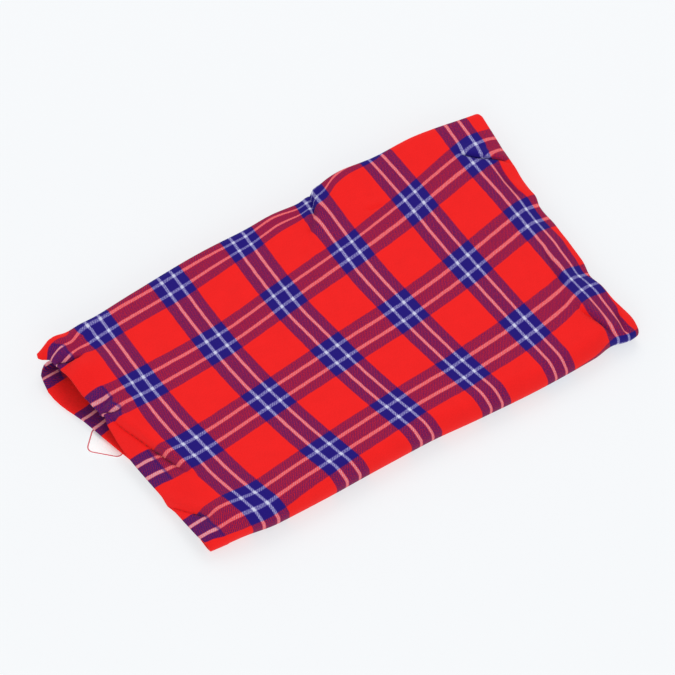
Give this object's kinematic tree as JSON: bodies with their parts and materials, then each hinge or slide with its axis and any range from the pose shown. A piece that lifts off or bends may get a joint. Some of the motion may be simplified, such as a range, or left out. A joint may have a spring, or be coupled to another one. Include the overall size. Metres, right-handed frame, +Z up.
{
  "type": "folded maasai shuka blanket",
  "caption": "Woven checked shuka blanket, folded flat into a soft rectangular bundle with one open end, and a small bare label under its hem.",
  "frame": {"origin": "on the surface that the bundle lies on, under the middle of its outline", "axes": "+X along the long side towards the closed folded end, +Y from the big front fold to the back, +Z up"},
  "size_m": [0.39, 0.2318, 0.028],
  "materials": {
    "shuka_cloth": "soft twill, red with blue bands and fine white lines",
    "label_cloth": "smooth white woven label, bare"
  },
  "bodies": {
    "root": {"shuka": "shuka_cloth", "care_label": "label_cloth"}
  },
  "joints": []
}
